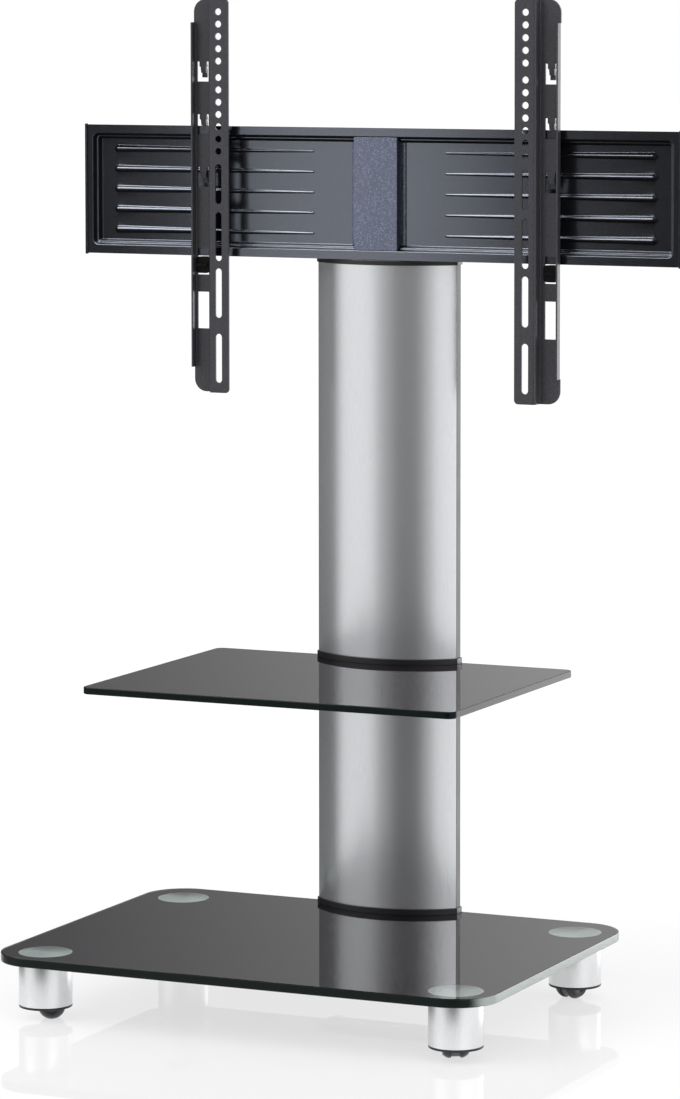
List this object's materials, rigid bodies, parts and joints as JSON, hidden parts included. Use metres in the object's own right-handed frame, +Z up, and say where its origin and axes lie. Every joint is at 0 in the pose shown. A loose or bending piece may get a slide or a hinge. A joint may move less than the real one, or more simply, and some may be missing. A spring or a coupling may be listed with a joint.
{
  "type": "tv stand with mount",
  "caption": "Castor stand on a rounded glass base, with a curved aluminium column, a glass shelf and a pressed steel plate that carries sliding screen rails.",
  "frame": {"origin": "floor point under the centre of the base glass", "axes": "+X to the right as seen from the front, -Y the front, +Z up"},
  "size_m": [0.752, 0.444, 1.1375],
  "materials": {
    "black_backed_glass": "polished clear glass with a black lacquer coat beneath",
    "foot_aluminium": "satin turned",
    "black_plastic": "satin moulded",
    "castor_plastic": "moulded",
    "wheel_plastic": "moulded with a smooth tread",
    "zinc_steel": "zinc plated",
    "brushed_aluminium": "brushed along the column",
    "cover_plastic": "satin moulded",
    "gasket_rubber": "matt",
    "plate_steel": "black powder coat, semi-gloss",
    "bracket_steel": "granular powder coat",
    "post_steel": "black powder coat",
    "rail_steel": "fine grey powder coat",
    "catch_plastic": "glossy moulded"
  },
  "bodies": {
    "stand": {"base_glass": "black_backed_glass", "front_left_foot_disc": "foot_aluminium", "front_right_foot_disc": "foot_aluminium", "rear_right_foot_disc": "foot_aluminium", "rear_left_foot_disc": "foot_aluminium", "front_left_foot_sleeve": "foot_aluminium", "front_right_foot_sleeve": "foot_aluminium", "rear_right_foot_sleeve": "foot_aluminium", "rear_left_foot_sleeve": "foot_aluminium", "front_left_foot_cup": "black_plastic", "front_right_foot_cup": "black_plastic", "rear_right_foot_cup": "black_plastic", "rear_left_foot_cup": "black_plastic", "base_clamp_plate": "post_steel", "base_gaskets": "gasket_rubber", "base_bolts": "zinc_steel", "post_foot_plate": "post_steel", "post": "post_steel", "post_plug": "black_plastic", "base_collar": "black_plastic", "lower_shell": "brushed_aluminium", "lower_rear_cover": "cover_plastic", "shelf_lower_collar": "black_plastic", "shelf_carrier": "post_steel", "shelf_carrier_screws": "zinc_steel", "shelf_gaskets": "gasket_rubber", "shelf_glass": "black_backed_glass", "shelf_clamp_plate": "post_steel", "shelf_bolts": "zinc_steel", "shelf_upper_collar": "black_plastic", "upper_shell": "brushed_aluminium", "upper_rear_cover": "cover_plastic", "cover_screws": "zinc_steel", "top_cap": "black_plastic", "post_bracket": "plate_steel", "mount_plate": "plate_steel", "box_bracket": "bracket_steel", "plate_bolts": "zinc_steel", "plate_nuts": "zinc_steel"},
    "front_left_castor": {"front_left_castor_body": "castor_plastic"},
    "front_left_wheel_pair": {"front_left_castor_wheels": "wheel_plastic", "front_left_castor_axle": "zinc_steel"},
    "front_right_castor": {"front_right_castor_body": "castor_plastic"},
    "front_right_wheel_pair": {"front_right_castor_wheels": "wheel_plastic", "front_right_castor_axle": "zinc_steel"},
    "rear_right_castor": {"rear_right_castor_body": "castor_plastic"},
    "rear_right_wheel_pair": {"rear_right_castor_wheels": "wheel_plastic", "rear_right_castor_axle": "zinc_steel"},
    "rear_left_castor": {"rear_left_castor_body": "castor_plastic"},
    "rear_left_wheel_pair": {"rear_left_castor_wheels": "wheel_plastic", "rear_left_castor_axle": "zinc_steel"},
    "left_screen_rail": {"left_rail": "rail_steel"},
    "left_pull_catch": {"left_catch": "catch_plastic"},
    "right_screen_rail": {"right_rail": "rail_steel"},
    "right_pull_catch": {"right_catch": "catch_plastic"}
  },
  "joints": [
    {"name": "front_left_swivel", "type": "hinge", "parent": "stand", "child": "front_left_castor", "pos_m": [-0.25, -0.172, 0.035], "axis": [0, 0, 1], "continuous": true},
    {"name": "front_left_roll", "type": "hinge", "parent": "front_left_castor", "child": "front_left_wheel_pair", "pos_m": [-0.24366, -0.16904, 0.0155], "axis": [-0.4226, 0.9063, 0], "continuous": true},
    {"name": "front_right_swivel", "type": "hinge", "parent": "stand", "child": "front_right_castor", "pos_m": [0.25, -0.172, 0.035], "axis": [0, 0, 1], "continuous": true},
    {"name": "front_right_roll", "type": "hinge", "parent": "front_right_castor", "child": "front_right_wheel_pair", "pos_m": [0.2465, -0.16594, 0.0155], "axis": [-0.866, -0.5, 0], "continuous": true},
    {"name": "rear_right_swivel", "type": "hinge", "parent": "stand", "child": "rear_right_castor", "pos_m": [0.25, 0.172, 0.035], "axis": [0, 0, 1], "continuous": true},
    {"name": "rear_right_roll", "type": "hinge", "parent": "rear_right_castor", "child": "rear_right_wheel_pair", "pos_m": [0.24807, 0.16527, 0.0155], "axis": [0.9613, -0.2756, 0], "continuous": true},
    {"name": "rear_left_swivel", "type": "hinge", "parent": "stand", "child": "rear_left_castor", "pos_m": [-0.25, 0.172, 0.035], "axis": [0, 0, 1], "continuous": true},
    {"name": "rear_left_roll", "type": "hinge", "parent": "rear_left_castor", "child": "rear_left_wheel_pair", "pos_m": [-0.25658, 0.16961, 0.0155], "axis": [0.342, -0.9397, 0], "continuous": true},
    {"name": "left_rail_slide", "type": "slide", "parent": "stand", "child": "left_screen_rail", "axis": [-1, 0, 0], "range_m": [-0.093, 0.106]},
    {"name": "left_catch_pull", "type": "slide", "parent": "left_screen_rail", "child": "left_pull_catch", "axis": [0, -1, 0], "range_m": [0, 0.005], "stiffness_N_per_m": 400, "springref_m": -0.004},
    {"name": "right_rail_slide", "type": "slide", "parent": "stand", "child": "right_screen_rail", "axis": [1, 0, 0], "range_m": [-0.093, 0.106]},
    {"name": "right_catch_pull", "type": "slide", "parent": "right_screen_rail", "child": "right_pull_catch", "axis": [0, -1, 0], "range_m": [0, 0.005], "stiffness_N_per_m": 400, "springref_m": -0.004}
  ]
}
